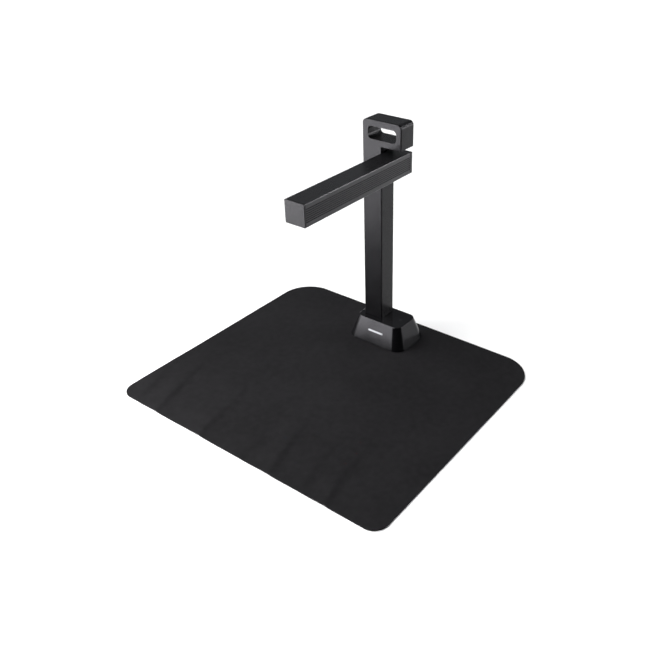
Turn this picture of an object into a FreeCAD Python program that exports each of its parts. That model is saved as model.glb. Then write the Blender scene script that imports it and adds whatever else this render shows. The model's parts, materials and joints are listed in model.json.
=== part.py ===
import FreeCAD, Part

import math
import os

import Sketcher

# Overhead book scanner: a weighted foot on a soft black mat, a square column with a
# carrying handle at its top, and a square camera arm that folds down beside the column.
#
# Frame, in millimetres: the origin is on the underside of the mat, at its centre. +X is
# the reader's right, +Y points away from the reader, +Z is up.

os.makedirs("parts", exist_ok=True)
doc = FreeCAD.newDocument("book_scanner")
dims = doc.addObject("Spreadsheet::Sheet", "dims")

SIZES = {
    # soft mat under the book and the foot
    "mat_wide": 498,
    "mat_deep": 438,
    "mat_thick": 2,
    "mat_front_round": 22,
    "mat_back_round": 55,
    # column and the head that carries the handle slot
    "column_left": -43,
    "column_wide": 34,
    "column_front": 143.2,
    "column_deep": 33.9,
    "column_wall": 2,
    "column_low": 38,
    "head_wide": 69.2,
    "head_low": 341.3,
    "head_top": 380,
    "head_round": 6.5,
    "slot_left": -33.8,
    "slot_wide": 52,
    "slot_low": 351,
    "slot_tall": 19.5,
    "slot_round": 6.4,
    "slot_wall": 1.6,
    "panel_edge": 0.9,
    "panel_seam": 1.8,
    "edge_round": 0.7,
    "hook_thick": 1.4,
    "hook_long": 3.8,
    "hook_low": 70,
    "hook_tall": 6,
    "hook_rise": 200,
    "hook_count": 4,
    "rear_screw_x": -26,
    "rear_screw_low": 80,
    "rear_screw_pitch": 102,
    "rear_boss_radius": 4,
    # weighted foot
    "foot_middle_x": -8.4,
    "foot_middle_y": 157.6,
    "foot_low": 3,
    "foot_top": 41,
    "foot_top_wide": 86,
    "foot_top_deep": 53.6,
    "foot_top_round": 12,
    "foot_flare": 12.8,
    "foot_low_round": 18.5,
    "foot_bevel": 0.5,
    "foot_wall": 2.4,
    "foot_plate_thick": 2.5,
    "foot_plate_gap": 0.3,
    "foot_socket_gap": 0.25,
    "ballast_low": 6,
    "ballast_top": 17,
    "ballast_wide": 92,
    "ballast_deep": 60,
    "ballast_round": 18,
    "boss_x": 37.2,
    "boss_y": 20,
    "boss_radius": 3.6,
    "boss_bore_deep": 13,
    "rubber_x": 42,
    "rubber_y": 17,
    "rubber_radius": 6,
    "indicator_x": 20.5,
    "indicator_y": 157.9,
    "indicator_radius": 1.9,
    "indicator_stem_radius": 1.2,
    "badge_left": -22.3,
    "badge_low": 22.6,
    "badge_long": 29,
    "badge_thick": 0.5,
    "badge_tall": 2.8,
    # camera arm
    "arm_gap": 1.1,
    "arm_wide": 34.3,
    "arm_tall": 33.2,
    "arm_low": 299.9,
    "arm_front": -73.3,
    "arm_back": 174.7,
    "arm_wall": 2,
    "arm_round": 1.1,
    "front_cap_thick": 2.6,
    "rear_cap_thick": 6,
    "cap_seam": 0.25,
    "cap_round": 0.6,
    "cap_lip": 2,
    "groove_count": 7,
    "groove_pitch": 3.0,
    "groove_wide": 1.3,
    "groove_deep": 1.2,
    "cover_thick": 2.2,
    "cover_screw_x": 11,
    "arm_boss_radius": 2.4,
    "main_post_radius": 2.3,
    "main_post_top": 16,
    "main_wide": 27,
    "main_front": -20,
    "main_back": 128,
    "sink_front": 2,
    "sink_deep": 40,
    "sink_wide": 20,
    # light windows and the camera on the arm's underside
    "camera_y": -46,
    "window_radius": 10,
    "light_wide": 12,
    "light_long": 70,
    "light_first_y": -26,
    "light_pitch": 80,
    "light_round": 3,
    "light_board_low": 6,
    "rib_deep": 3.5,
    "camera_box": 24,
    "camera_box_tall": 13,
    "camera_box_low": 5,
    "barrel_radius": 7,
    "lens_curve": 9,
    "lens_radius": 5.5,
    # hinge
    "shaft_radius": 5,
    "shaft_bore": 2.8,
    "shaft_fit": 0.05,
    "bush_radius": 6.5,
    "harness_radius": 1.2,
    "bracket_half_deep": 8,
    "bracket_half_tall": 17,
    "bracket_hole_y": 5,
    "bracket_hole_z": 13.5,
    "thrust_radius": 12,
    "stop_radius": 9.9,
    "stop_thick": 1.7,
    "nut_thick": 5.1,
    "block_deep": 23,
    # sheet metal inside the column
    "spine_left": -39.5,
    "spine_wide": 27,
    "spine_front": 150,
    "spine_back": 172.7,
    "spine_thick": 1.5,
    "spine_top": 338,
    "bracket_thick": 3,
    "bolt_left_x": -33,
    "bolt_right_x": -19,
    "bolt_y": 160,
    "spine_screw_z": 28,
    "plug_tall": 16,
    # input and output board in the foot
    "board_left": -6,
    "board_wide": 30.5,
    "board_front": 150,
    "board_deep": 35,
    "board_low": 20,
    "board_thick": 1.6,
    "port_x": 8,
    "port_wide": 14,
    "port_tall": 8,
    "port_round": 2,
    "board_hole_x": 12.5,
    "board_hole_y": 13,
    "standoff_radius": 2.4,
    "socket_y": 189,
    "socket_wide": 9,
    "socket_tall": 3.2,
    "socket_round": 1.5,
    "socket_wall": 0.34,
    "socket_long": 7.5,
    "tongue_wide": 6.6,
    "tongue_thick": 0.7,
    "tongue_long": 5.5,
    # screws: the radius of each shank; a hole that takes a thread has the same radius
    "foot_screw": 1.25,
    "column_bolt": 2,
    "board_screw": 0.95,
    "case_screw": 1.25,
    "bracket_screw": 1.2,
    "cover_screw": 0.95,
    "main_screw": 0.9,
    "head_sink": 1.7,
}
for row, (alias, size) in enumerate(SIZES.items(), start=1):
    cell = "A%d" % row
    dims.set(cell, str(size))
    dims.setAlias(cell, alias)

# Places that follow from the sizes above, kept in the sheet as formulas.
PLACES = {
    "column_right": "=column_left + column_wide",
    "column_back": "=column_front + column_deep",
    "head_right": "=column_left + head_wide",
    "slot_right": "=slot_left + slot_wide",
    "slot_top": "=slot_low + slot_tall",
    "panel_thick": "=panel_edge + panel_seam",
    "cavity_front": "=column_front + panel_edge + panel_seam",
    "arm_left": "=column_left + column_wide + arm_gap",
    "arm_right": "=column_left + column_wide + arm_gap + arm_wide",
    "arm_top": "=arm_low + arm_tall",
    "arm_middle_x": "=column_left + column_wide + arm_gap + arm_wide / 2",
    "hinge_y": "=column_front + column_deep / 2",
    "hinge_z": "=arm_low + arm_tall / 2",
    "hinge_inside": "=spine_left + spine_wide - spine_thick - bracket_thick",
    "spine_right": "=spine_left + spine_wide",
    "foot_slope": "=foot_flare / (foot_top - foot_low)",
    "port_z": "=board_low + board_thick + 1.6",
}
for row, (alias, formula) in enumerate(PLACES.items(), start=1):
    cell = "C%d" % row
    dims.set(cell, formula)
    dims.setAlias(cell, alias)
doc.recompute()

PIECES = []


def expr(text):
    """Put the sheet's name before every alias in a formula."""
    words = set(SIZES) | set(PLACES)
    out = ""
    word = ""
    for char in str(text) + " ":
        if char.isalnum() or char in "_.":
            word += char
            continue
        out += "dims." + word if word in words else word
        out += char
        word = ""
    return out.strip()


def value(text):
    """The number that a formula gives now."""
    return float(dims.evalExpression(expr(text)))


def bind(thing, prop, text):
    thing.setExpression(prop, expr(text))


def piece(thing, label):
    """Name a finished sub-part, which is written to a file of that name."""
    thing.Label = label
    PIECES.append(thing)
    return thing


# ---------------------------------------------------------------- PartDesign helpers

def new_body(name):
    return doc.addObject("PartDesign::Body", name)


def new_sketch(body, name, plane, level):
    """A sketch on one of the body's origin planes, moved along the plane's normal.

    XY: level is z. YZ: level is x. XZ: level is y, and the plane's normal is -Y.
    """
    sketch = body.newObject("Sketcher::SketchObject", name)
    role = plane + "_Plane"
    support = [f for f in body.Origin.OriginFeatures if f.Role == role][0]
    sketch.AttachmentSupport = (support, [""])
    sketch.MapMode = "FlatFace"
    text = "-(%s)" % level if plane == "XZ" else level
    bind(sketch, "AttachmentOffset.Base.z", text)
    return sketch


def place_point(sketch, geometry, end, across, up):
    """Hold one point of a sketch at a place that the sheet gives."""
    for kind, text in (("DistanceX", across), ("DistanceY", up)):
        rule = Sketcher.Constraint(kind, -1, 1, geometry, end, value(text))
        index = sketch.addConstraint(rule)
        bind(sketch, "Constraints[%d]" % index, text)


def polygon(body, name, plane, level, corners):
    """A closed outline of straight lines through corners (across, up)."""
    sketch = new_sketch(body, name, plane, level)
    points = [FreeCAD.Vector(value(a), value(u), 0) for a, u in corners]
    count = len(points)
    for i in range(count):
        sketch.addGeometry(Part.LineSegment(points[i], points[(i + 1) % count]))
    for i in range(count):
        sketch.addConstraint(Sketcher.Constraint("Coincident", i, 2, (i + 1) % count, 1))
    for i, (across, up) in enumerate(corners):
        place_point(sketch, i, 1, across, up)
    return sketch


def rectangle(body, name, plane, level, left, low, right, high):
    corners = [(left, low), (right, low), (right, high), (left, high)]
    return polygon(body, name, plane, level, corners)


def rounded(body, name, plane, level, left, low, right, high, radius):
    """A rectangle whose four corners are arcs of one radius."""
    sketch = new_sketch(body, name, plane, level)
    r = value(radius)
    centres = [
        ("(%s) + (%s)" % (left, radius), "(%s) + (%s)" % (low, radius), 180),
        ("(%s) - (%s)" % (right, radius), "(%s) + (%s)" % (low, radius), 270),
        ("(%s) - (%s)" % (right, radius), "(%s) - (%s)" % (high, radius), 0),
        ("(%s) + (%s)" % (left, radius), "(%s) - (%s)" % (high, radius), 90),
    ]
    normal = FreeCAD.Vector(0, 0, 1)
    arcs = []
    for across, up, start in centres:
        centre = FreeCAD.Vector(value(across), value(up), 0)
        circle = Part.Circle(centre, normal, r)
        arcs.append(Part.ArcOfCircle(circle, math.radians(start), math.radians(start + 90)))
    for arc in arcs:
        sketch.addGeometry(arc)
    for i in range(4):
        sketch.addGeometry(Part.LineSegment(arcs[i].EndPoint, arcs[(i + 1) % 4].StartPoint))
    for i in range(4):
        sketch.addConstraint(Sketcher.Constraint("Tangent", i, 2, 4 + i, 1))
        sketch.addConstraint(Sketcher.Constraint("Tangent", 4 + i, 2, (i + 1) % 4, 1))
    for i, (across, up, start) in enumerate(centres):
        place_point(sketch, i, 3, across, up)
    index = sketch.addConstraint(Sketcher.Constraint("Radius", 0, r))
    bind(sketch, "Constraints[%d]" % index, radius)
    for i in range(1, 4):
        sketch.addConstraint(Sketcher.Constraint("Equal", 0, i))
    return sketch


def circles(body, name, plane, level, centres, radius):
    """Equal circles at centres (across, up)."""
    sketch = new_sketch(body, name, plane, level)
    for i, (across, up) in enumerate(centres):
        centre = FreeCAD.Vector(value(across), value(up), 0)
        sketch.addGeometry(Part.Circle(centre, FreeCAD.Vector(0, 0, 1), value(radius)))
        place_point(sketch, i, 3, across, up)
    index = sketch.addConstraint(Sketcher.Constraint("Radius", 0, value(radius)))
    bind(sketch, "Constraints[%d]" % index, radius)
    for i in range(1, len(centres)):
        sketch.addConstraint(Sketcher.Constraint("Equal", 0, i))
    return sketch


def pad(body, sketch, length, back=False):
    """Grow the sketch along its normal, or against it when back is true."""
    feature = body.newObject("PartDesign::Pad", sketch.Name + "_pad")
    feature.Profile = sketch
    feature.Reversed = back
    bind(feature, "Length", length)
    doc.recompute()
    return feature


def pocket(body, sketch, length, back=False):
    """Cut against the sketch's normal, or along it when back is true."""
    before = body.Shape.Volume
    feature = body.newObject("PartDesign::Pocket", sketch.Name + "_pocket")
    feature.Profile = sketch
    feature.Reversed = back
    bind(feature, "Length", length)
    doc.recompute()
    if body.Shape.Volume > before - 0.01:
        raise RuntimeError(feature.Name + " removes nothing")
    return feature


def fillet(body, chosen, radius):
    """Round the edges of the body that the function chosen accepts."""
    edges = ["Edge%d" % i for i, e in enumerate(body.Shape.Edges, start=1) if chosen(e)]
    if not edges:
        raise RuntimeError(body.Name + " has no edge to round")
    base = body.Tip
    feature = body.newObject("PartDesign::Fillet", "%s_round%d" % (body.Name, len(body.Group)))
    feature.Base = (base, edges)
    bind(feature, "Radius", radius)
    doc.recompute()
    return feature


def loft(body, kind, sketches):
    feature = body.newObject("PartDesign::" + kind, sketches[0].Name + "_loft")
    feature.Profile = sketches[0]
    feature.Sections = sketches[1:]
    feature.Ruled = True
    doc.recompute()
    return feature


def linear_row(body, name, feature, sketch, axis, length, count):
    """Repeat a feature along an axis of its own sketch, 'H_Axis' or 'V_Axis'."""
    row = body.newObject("PartDesign::LinearPattern", name)
    row.Originals = [feature]
    row.Direction = (sketch, [axis])
    bind(row, "Length", length)
    bind(row, "Occurrences", count)
    body.Tip = row
    doc.recompute()
    return row


def along(edge, axis):
    """Whether a straight edge runs along the axis 'x', 'y' or 'z'."""
    if edge.Curve.TypeId != "Part::GeomLine":
        return False
    return abs(getattr(edge.Curve.Direction, axis)) > 0.999


def middle(edge):
    return edge.valueAt((edge.FirstParameter + edge.LastParameter) / 2)


def near(number, text, room=0.05):
    return abs(number - value(text)) < room


# ---------------------------------------------------------------- Part helpers

def block(name, left, front, low, wide, deep, tall):
    """A box from its lowest corner and its three sizes."""
    box = doc.addObject("Part::Box", name)
    texts = (left, front, low)
    for coord, text in zip("xyz", texts):
        bind(box, "Placement.Base." + coord, text)
    for prop, text in (("Length", wide), ("Width", deep), ("Height", tall)):
        bind(box, prop, text)
    return box


TURNS = {
    "x": FreeCAD.Rotation(FreeCAD.Vector(0, 1, 0), 90),
    "y": FreeCAD.Rotation(FreeCAD.Vector(1, 0, 0), -90),
    "z": FreeCAD.Rotation(),
}


def rod(name, axis, x, y, z, radius, length):
    """A cylinder that starts at (x, y, z) and runs along +axis."""
    cylinder = doc.addObject("Part::Cylinder", name)
    cylinder.Placement = FreeCAD.Placement(FreeCAD.Vector(), TURNS[axis])
    for coord, text in zip("xyz", (x, y, z)):
        bind(cylinder, "Placement.Base." + coord, text)
    bind(cylinder, "Radius", radius)
    bind(cylinder, "Height", length)
    return cylinder


def cut(name, base, tool):
    feature = doc.addObject("Part::Cut", name)
    feature.Base = base
    feature.Tool = tool
    return feature


def fuse(name, parts):
    feature = doc.addObject("Part::MultiFuse", name)
    feature.Shapes = parts
    return feature


def tube(name, axis, x, y, z, outer, inner, length):
    """A ring or sleeve that starts at (x, y, z) and runs along +axis."""
    outside = rod(name + "_outside", axis, x, y, z, outer, length)
    inside = rod(name + "_inside", axis, x, y, z, inner, length)
    return cut(name, outside, inside)


def repeat(name, master, places, turn=None):
    """Copies of one master piece at places (x, y, z), as one group of separate solids."""
    links = []
    for i, place in enumerate(places, start=1):
        link = doc.addObject("App::Link", "%s_%d" % (name, i))
        link.LinkedObject = master
        link.LinkTransform = False
        link.Placement = FreeCAD.Placement(FreeCAD.Vector(), turn or FreeCAD.Rotation())
        for coord, text in zip("xyz", place):
            bind(link, "Placement.Base." + coord, text)
        links.append(link)
    group = doc.addObject("Part::Compound", name)
    group.Links = links
    return group


def screw(name, head_radius, head_tall, shank_long, shank_radius=None):
    """A socket screw at the origin: head above z = 0, shank below it.

    The shank's radius is the sheet's size of the screw's own name, unless it is given.
    """
    body = new_body(name)
    centre = [("0", "0")]
    shank = circles(body, name + "_shank", "XY", "0", centre, shank_radius or name)
    pad(body, shank, str(shank_long), back=True)
    head = circles(body, name + "_head", "XY", "0", centre, str(head_radius))
    pad(body, head, str(head_tall))
    reach = 0.5 * head_radius
    corners = []
    for i in range(6):
        turn = math.radians(60 * i)
        corners.append((str(reach * math.cos(turn)), str(reach * math.sin(turn))))
    socket = polygon(body, name + "_socket", "XY", str(head_tall), corners)
    pocket(body, socket, str(0.55 * head_tall))
    return body


DOWN = FreeCAD.Rotation(FreeCAD.Vector(1, 0, 0), 180)
BACKWARD = FreeCAD.Rotation(FreeCAD.Vector(1, 0, 0), -90)
LEFTWARD = FreeCAD.Rotation(FreeCAD.Vector(0, 1, 0), -90)


def corners_about(middle_x, middle_y, half_x, half_y):
    """Four places round a middle, as (x, y) formulas."""
    places = []
    for side_x in ("-", "+"):
        for side_y in ("-", "+"):
            x = "%s %s %s" % (middle_x, side_x, half_x)
            y = "%s %s %s" % (middle_y, side_y, half_y)
            places.append((x, y))
    return places


# ---------------------------------------------------------------- mat

def make_mat():
    body = new_body("mat")
    outline = rectangle(body, "mat_outline", "XY", "0", "-mat_wide / 2", "-mat_deep / 2",
                        "mat_wide / 2", "mat_deep / 2")
    pad(body, outline, "mat_thick")
    fillet(body, lambda e: along(e, "z") and middle(e).y < 0, "mat_front_round")
    fillet(body, lambda e: along(e, "z") and near(middle(e).y, "mat_deep / 2"),
           "mat_back_round")
    piece(body, "scan_mat")


# ---------------------------------------------------------------- foot

BOSSES = corners_about("foot_middle_x", "foot_middle_y", "boss_x", "boss_y")
COLUMN_BOLTS = [("bolt_left_x", "bolt_y"), ("bolt_right_x", "bolt_y")]


def foot_section(body, name, level, half_wide, half_deep, radius):
    """A rounded rectangle centred on the foot, level with z."""
    return rounded(body, name, "XY", level,
                   "foot_middle_x - (%s)" % half_wide, "foot_middle_y - (%s)" % half_deep,
                   "foot_middle_x + (%s)" % half_wide, "foot_middle_y + (%s)" % half_deep,
                   radius)


def make_foot_shell():
    """The foot's hollow cover: flared sides, open below, with the column's socket on top."""
    body = new_body("foot_cover")
    outer = [
        foot_section(body, "foot_outer_low", "foot_low", "foot_top_wide / 2 + foot_flare",
                     "foot_top_deep / 2 + foot_flare", "foot_low_round"),
        foot_section(body, "foot_outer_high", "foot_top - foot_bevel",
                     "foot_top_wide / 2 + foot_slope * foot_bevel",
                     "foot_top_deep / 2 + foot_slope * foot_bevel", "foot_top_round"),
        foot_section(body, "foot_outer_top", "foot_top", "foot_top_wide / 2 - foot_bevel",
                     "foot_top_deep / 2 - foot_bevel", "foot_top_round - foot_bevel"),
    ]
    loft(body, "AdditiveLoft", outer)
    inner = [
        foot_section(body, "foot_inner_low", "foot_low",
                     "foot_top_wide / 2 + foot_flare - foot_wall",
                     "foot_top_deep / 2 + foot_flare - foot_wall",
                     "foot_low_round - foot_wall"),
        foot_section(body, "foot_inner_top", "foot_top - foot_wall",
                     "foot_top_wide / 2 - foot_wall", "foot_top_deep / 2 - foot_wall",
                     "foot_top_round - foot_wall"),
    ]
    loft(body, "SubtractiveLoft", inner)
    bosses = circles(body, "foot_bosses", "XY", "ballast_top + 0.2", BOSSES, "boss_radius")
    pad(body, bosses, "foot_top - foot_wall - ballast_top + 0.3")
    holes = circles(body, "foot_boss_holes", "XY", "ballast_top + 0.2", BOSSES,
                    "foot_screw + 0.05")
    pocket(body, holes, "boss_bore_deep", back=True)
    socket = rectangle(body, "foot_socket", "XY", "foot_top",
                       "column_left - foot_socket_gap", "column_front - foot_socket_gap",
                       "column_right + foot_socket_gap", "column_back + foot_socket_gap")
    pocket(body, socket, "foot_wall + 1")
    window = circles(body, "indicator_hole", "XY", "foot_top", [("indicator_x", "indicator_y")],
                     "indicator_radius + 0.1")
    pocket(body, window, "foot_wall + 1")
    port = rounded(body, "port_hole", "XZ", "foot_middle_y + foot_top_deep / 2 + foot_flare + 1",
                   "port_x - port_wide / 2", "port_z - port_tall / 2",
                   "port_x + port_wide / 2", "port_z + port_tall / 2", "port_round")
    pocket(body, port, "foot_flare + 1.2", back=True)
    piece(body, "foot_shell")


def make_foot_plate():
    """The bottom cover, inside the foot shell's rim."""
    body = new_body("foot_bottom")
    gap = "foot_slope * foot_plate_thick + foot_wall + foot_plate_gap"
    plate = foot_section(body, "plate_outline", "foot_low",
                         "foot_top_wide / 2 + foot_flare - (%s)" % gap,
                         "foot_top_deep / 2 + foot_flare - (%s)" % gap,
                         "foot_low_round - (%s)" % gap)
    pad(body, plate, "foot_plate_thick")
    heads = circles(body, "plate_head_recess", "XY", "foot_low", BOSSES, "foot_screw + 1.85")
    pocket(body, heads, "head_sink", back=True)
    holes = circles(body, "plate_holes", "XY", "foot_low", BOSSES, "foot_screw + 0.45")
    pocket(body, holes, "foot_plate_thick + 1", back=True)
    piece(body, "foot_bottom_plate")


def make_ballast():
    """The steel weight that keeps the scanner upright under its arm."""
    body = new_body("ballast")
    block_outline = foot_section(body, "ballast_outline", "ballast_low", "ballast_wide / 2",
                                 "ballast_deep / 2", "ballast_round")
    pad(body, block_outline, "ballast_top - ballast_low")
    holes = circles(body, "ballast_holes", "XY", "ballast_low", BOSSES, "foot_screw + 0.75")
    pocket(body, holes, "ballast_top - ballast_low + 1", back=True)
    recess = circles(body, "ballast_recess", "XY", "ballast_low", COLUMN_BOLTS,
                     "column_bolt + 1.8")
    pocket(body, recess, "4.5", back=True)
    bolts = circles(body, "ballast_bolt_holes", "XY", "ballast_low", COLUMN_BOLTS,
                    "column_bolt + 0.1")
    pocket(body, bolts, "ballast_top - ballast_low + 1", back=True)
    piece(body, "ballast_plate")


def make_foot_small_parts():
    pads = [(x, y, "mat_thick") for x, y in corners_about("foot_middle_x", "foot_middle_y",
                                                          "rubber_x", "rubber_y")]
    disc = rod("foot_pad", "z", "0", "0", "0", "rubber_radius", "foot_low - mat_thick")
    piece(repeat("foot_pads", disc, pads), "rubber_feet")

    long_screw = screw("foot_screw", head_radius=2.8, head_tall=1.4, shank_long=20)
    places = [(x, y, "foot_low + head_sink") for x, y in BOSSES]
    piece(repeat("foot_screws", long_screw, places, DOWN), "foot_plate_screws")

    bolt = screw("column_bolt", head_radius=3.5, head_tall=4, shank_long=16)
    places = [(x, y, "ballast_low + 4.4") for x, y in COLUMN_BOLTS]
    piece(repeat("column_bolts", bolt, places, DOWN), "column_bolts")

    lens = rod("indicator_cap", "z", "indicator_x", "indicator_y", "foot_top - 2.2",
               "indicator_radius", "2.3")
    guide = rod("indicator_stem", "z", "indicator_x", "indicator_y",
                "board_low + board_thick + 1.2", "indicator_stem_radius",
                "foot_top - board_low - board_thick - 3")
    piece(fuse("indicator", [lens, guide]), "indicator_light_pipe")

    bar = doc.addObject("Part::Box", "badge_bar")
    bind(bar, "Length", "badge_long")
    bind(bar, "Width", "badge_thick")
    bind(bar, "Height", "badge_tall")
    lean = math.degrees(math.atan(value("foot_slope")))
    turn = FreeCAD.Rotation(FreeCAD.Vector(1, 0, 0), -lean)
    bar.Placement = FreeCAD.Placement(FreeCAD.Vector(), turn)
    bind(bar, "Placement.Base.x", "badge_left")
    bind(bar, "Placement.Base.y", "foot_middle_y - foot_top_deep / 2 - foot_slope * "
         "(foot_top - badge_low) - badge_thick * sqrt(1 + foot_slope * foot_slope)")
    bind(bar, "Placement.Base.z", "badge_low")
    piece(bar, "front_badge")


def port_outline(body, name, wide, tall, radius):
    """A rounded outline about the socket's axis, at the socket's mouth."""
    return rounded(body, name, "XZ", "socket_y",
                   "port_x - (%s) / 2" % wide, "port_z - (%s) / 2" % tall,
                   "port_x + (%s) / 2" % wide, "port_z + (%s) / 2" % tall, radius)


def make_board_and_port():
    """The board in the foot that carries the cable socket."""
    body = new_body("port_board")
    outline = rectangle(body, "board_outline", "XY", "board_low", "board_left", "board_front",
                        "board_left + board_wide", "board_front + board_deep")
    pad(body, outline, "board_thick")
    places = corners_about("board_left + board_wide / 2", "board_front + board_deep / 2",
                           "board_hole_x", "board_hole_y")
    holes = circles(body, "board_holes", "XY", "board_low", places, "board_screw + 0.35")
    pocket(body, holes, "board_thick + 1", back=True)
    piece(body, "port_board")

    post = tube("board_post", "z", "0", "0", "0", "standoff_radius", "board_screw + 0.05",
                "board_low - ballast_top")
    posts = [(x, y, "ballast_top") for x, y in places]
    piece(repeat("board_posts", post, posts), "board_standoffs")

    small = screw("board_screw", head_radius=2, head_tall=1.2, shank_long=4)
    tops = [(x, y, "board_low + board_thick") for x, y in places]
    piece(repeat("board_screw_set", small, tops), "board_screws")

    shell = new_body("socket_shell")
    outside = port_outline(shell, "socket_outside", "socket_wide", "socket_tall", "socket_round")
    pad(shell, outside, "socket_long")
    mouth = port_outline(shell, "socket_mouth", "socket_wide - 2 * socket_wall",
                         "socket_tall - 2 * socket_wall", "socket_round - 0.25")
    pocket(shell, mouth, "socket_long - 1.1", back=True)
    tongue = rectangle(shell, "socket_tongue", "XZ", "socket_y - socket_long + 1",
                       "port_x - tongue_wide / 2", "port_z - tongue_thick / 2",
                       "port_x + tongue_wide / 2", "port_z + tongue_thick / 2")
    pad(shell, tongue, "tongue_long", back=True)
    piece(shell, "usb_socket")

    chip = block("hub_chip", "board_left + 8", "board_front + 9", "board_low + board_thick",
                 "9", "9", "1")
    plug = block("harness_plug", "board_left + 1.5", "board_front - 3.2",
                 "board_low + board_thick", "9", "5", "4.4")
    piece(chip, "hub_chip")
    piece(plug, "harness_connector")


# ---------------------------------------------------------------- column and head

def head_outline(body, name, level, inset, low):
    """The outline of column and head together, drawn in the XZ plane.

    Straight edges run from the foot round the head's underside to its right side; the
    head's two upper corners are arcs.
    """
    sketch = new_sketch(body, name, "XZ", level)
    left = "column_left + (%s)" % inset
    right = "head_right - (%s)" % inset
    top = "head_top - (%s)" % inset
    radius = "head_round - (%s)" % inset
    corners = [
        (left, low),
        ("column_right - (%s)" % inset, low),
        ("column_right - (%s)" % inset, "head_low + (%s)" % inset),
        (right, "head_low + (%s)" % inset),
    ]
    centres = [
        ("%s - (%s)" % (right, radius), "%s - (%s)" % (top, radius), 0),
        ("%s + (%s)" % (left, radius), "%s - (%s)" % (top, radius), 90),
    ]
    arcs = []
    for across, up, start in centres:
        centre = FreeCAD.Vector(value(across), value(up), 0)
        circle = Part.Circle(centre, FreeCAD.Vector(0, 0, 1), value(radius))
        arcs.append(Part.ArcOfCircle(circle, math.radians(start), math.radians(start + 90)))
    points = [FreeCAD.Vector(value(a), value(u), 0) for a, u in corners]
    runs = [
        (points[0], points[1]),
        (points[1], points[2]),
        (points[2], points[3]),
        (points[3], arcs[0].StartPoint),
        (arcs[0].EndPoint, arcs[1].StartPoint),
        (arcs[1].EndPoint, points[0]),
    ]
    for start, end in runs:
        sketch.addGeometry(Part.LineSegment(start, end))
    for arc in arcs:
        sketch.addGeometry(arc)
    for first, second in ((0, 1), (1, 2), (2, 3), (5, 0)):
        sketch.addConstraint(Sketcher.Constraint("Coincident", first, 2, second, 1))
    for first, second in ((3, 6), (6, 4), (4, 7), (7, 5)):
        sketch.addConstraint(Sketcher.Constraint("Tangent", first, 2, second, 1))
    for i, (across, up) in enumerate(corners):
        place_point(sketch, i, 1, across, up)
    for i, (across, up, start) in enumerate(centres):
        place_point(sketch, 6 + i, 3, across, up)
        index = sketch.addConstraint(Sketcher.Constraint("Radius", 6 + i, value(radius)))
        bind(sketch, "Constraints[%d]" % index, radius)
    return sketch


def handle_slot(body, name, level, margin):
    """The outline of the handle slot, grown by a margin."""
    return rounded(body, name, "XZ", level,
                   "slot_left - (%s)" % margin, "slot_low - (%s)" % margin,
                   "slot_right + (%s)" % margin, "slot_top + (%s)" % margin,
                   "slot_round + (%s)" % margin)


REAR_SCREWS = [("rear_screw_x", "rear_screw_low + %d * rear_screw_pitch" % i) for i in range(3)]


def outer_face_edges(face):
    """Picks the edges round one outer face of the column, but not those inside the foot."""
    def chosen(edge):
        place = middle(edge)
        return near(place.y, face) and place.z > value("column_low") + 1
    return chosen


def make_column_shell():
    """The column's tub: back and sides in one piece, open to the front."""
    body = new_body("column_tub")
    outline = head_outline(body, "tub_outline", "cavity_front", "0", "column_low")
    pad(body, outline, "column_deep - panel_thick", back=True)
    fillet(body, outer_face_edges("column_back"), "edge_round")
    hollow = head_outline(body, "tub_hollow", "cavity_front", "column_wall", "column_low")
    pocket(body, hollow, "column_deep - panel_thick - column_wall")
    sleeve = handle_slot(body, "slot_sleeve", "cavity_front", "slot_wall")
    pad(body, sleeve, "column_deep - panel_thick - column_wall / 2", back=True)
    slot = handle_slot(body, "slot_through", "cavity_front", "0")
    pocket(body, slot, "column_deep")
    hole = circles(body, "bush_hole", "YZ", "column_right + 1", [("hinge_y", "hinge_z")],
                   "bush_radius + 0.3")
    pocket(body, hole, "column_wall + 2")
    bosses = circles(body, "rear_bosses", "XZ", "spine_back + 0.05", REAR_SCREWS,
                     "rear_boss_radius")
    pad(body, bosses, "column_back - column_wall - spine_back", back=True)
    heads = circles(body, "rear_head_recess", "XZ", "column_back", REAR_SCREWS,
                    "case_screw + 1.75")
    pocket(body, heads, "head_sink", back=True)
    holes = circles(body, "rear_holes", "XZ", "column_back", REAR_SCREWS, "case_screw + 0.25")
    pocket(body, holes, "column_back - spine_back", back=True)
    piece(body, "column_shell")

    rear = screw("rear_screw", head_radius=2.7, head_tall=1.4, shank_long=5.5,
                 shank_radius="case_screw")
    places = [(x, "column_back - head_sink", z) for x, z in REAR_SCREWS]
    piece(repeat("rear_screw_set", rear, places, BACKWARD), "column_rear_screws")


def make_column_panel():
    """The front panel, which leaves a narrow shadow line where it meets the shell."""
    body = new_body("column_face")
    face = head_outline(body, "face_outline", "column_front", "0", "column_low")
    pad(body, face, "panel_edge", back=True)
    fillet(body, outer_face_edges("column_front"), "edge_round")
    step = head_outline(body, "face_step", "column_front + panel_edge", "panel_seam", "column_low")
    pad(body, step, "panel_seam", back=True)
    slot = handle_slot(body, "face_slot", "column_front", "0")
    pocket(body, slot, "panel_thick + 1")
    for side, left in (("left", "column_left + column_wall + 0.2"),
                       ("right", "column_right - column_wall - 0.2 - hook_thick")):
        hook = rectangle(body, "hook_" + side, "XZ", "cavity_front",
                         left, "hook_low", left + " + hook_thick", "hook_low + hook_tall")
        tab = pad(body, hook, "hook_long", back=True)
        linear_row(body, "hooks_" + side, tab, hook, "V_Axis", "hook_rise", "hook_count")
    piece(body, "column_front_panel")


SPINE_HOLES = [("bolt_left_x", "spine_screw_z"), ("bolt_right_x", "spine_screw_z")]
BRACKET_HOLES = corners_about("hinge_y", "hinge_z", "bracket_hole_y", "bracket_hole_z")


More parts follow.
